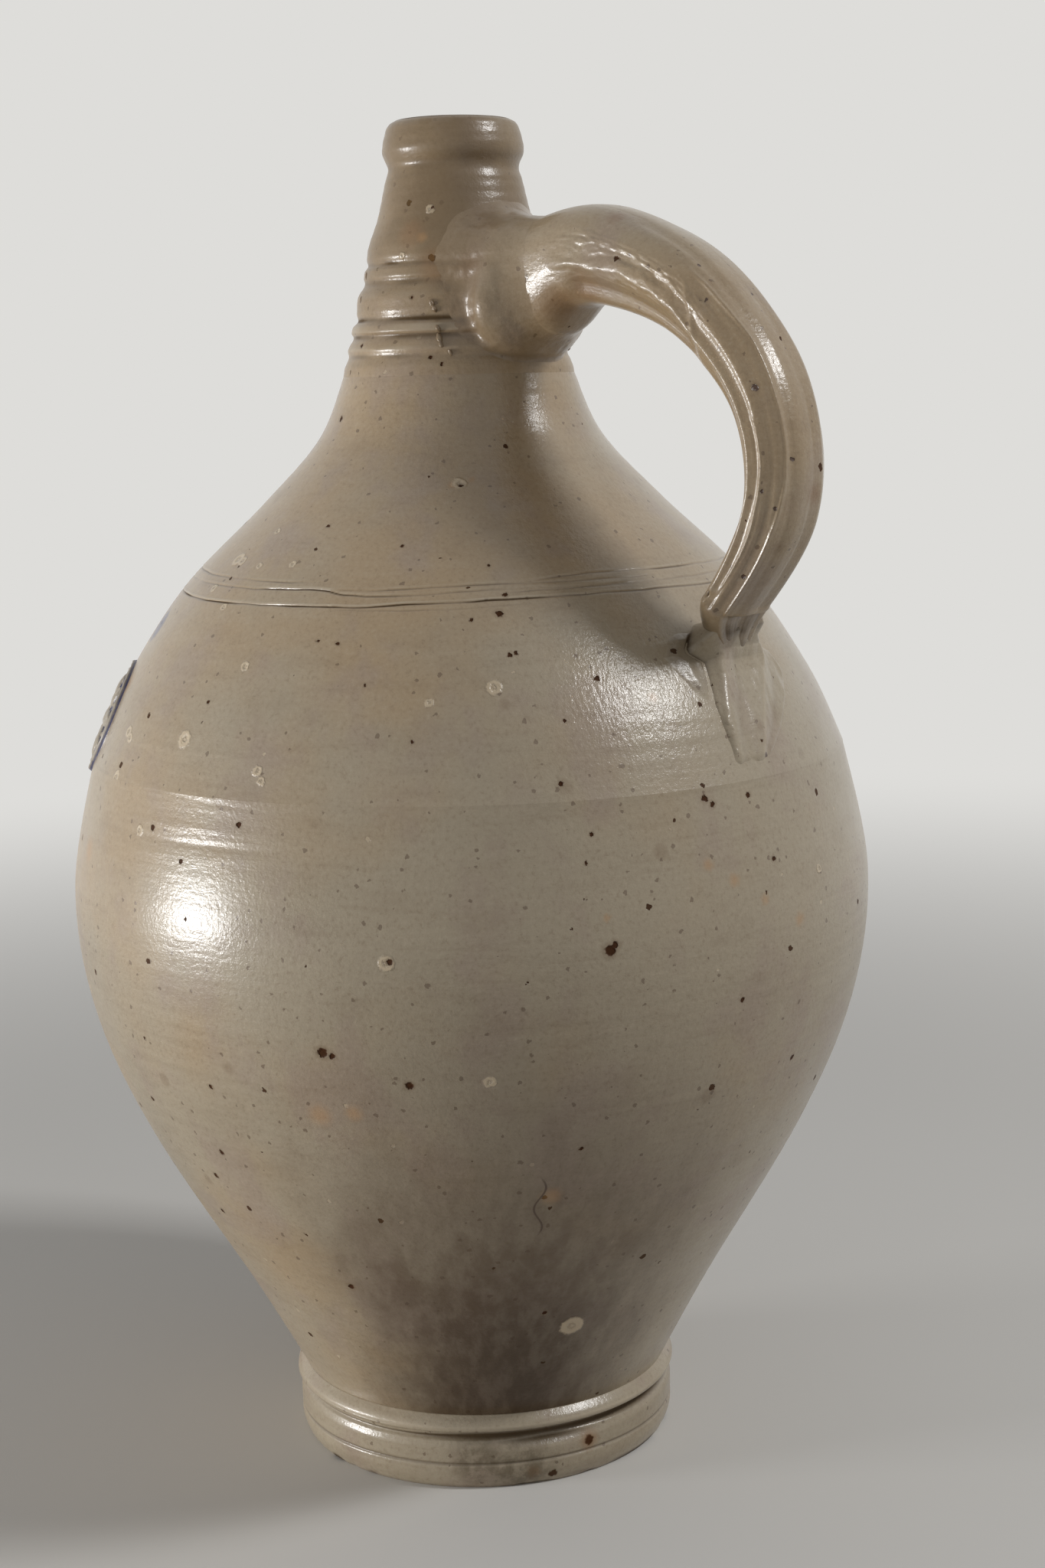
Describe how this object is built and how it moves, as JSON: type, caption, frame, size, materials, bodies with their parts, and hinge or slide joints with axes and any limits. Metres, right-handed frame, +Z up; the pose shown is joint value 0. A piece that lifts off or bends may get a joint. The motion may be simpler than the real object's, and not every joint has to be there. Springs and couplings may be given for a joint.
{
  "type": "stoneware jug",
  "caption": "Round-bellied salt-glazed stoneware jug with a ringed narrow neck, collared mouth, turned foot, strap handle and small applied rosettes.",
  "frame": {"origin": "middle of the flat base, on the surface the jug stands on, on the axis of the turned body", "axes": "+Z up along the axis of the turned body, +X from the axis towards the handle, -X the front with the middle rosette"},
  "size_m": [0.2523, 0.2424, 0.4005],
  "materials": {
    "body_glaze": "grey-beige salt glaze with fine dimples, iron specks and a brown blush low on one side",
    "foot_glaze": "grey salt glaze, thin and stained along the bottom edge",
    "neck_glaze": "warm grey salt glaze, glossy over the turned rings",
    "handle_glaze": "thick glossy salt glaze, wrinkled on one edge, with an orange blush under the root",
    "rosette_glaze": "grey salt glaze painted with dark blue"
  },
  "bodies": {
    "root": {"foot_ring": "foot_glaze", "lower_body": "body_glaze", "upper_body": "body_glaze", "neck": "neck_glaze", "handle": "handle_glaze", "handle_root_clay": "handle_glaze", "handle_tail_clay": "handle_glaze", "rosette_front": "rosette_glaze", "rosette_right": "rosette_glaze", "rosette_left": "rosette_glaze"}
  },
  "joints": []
}
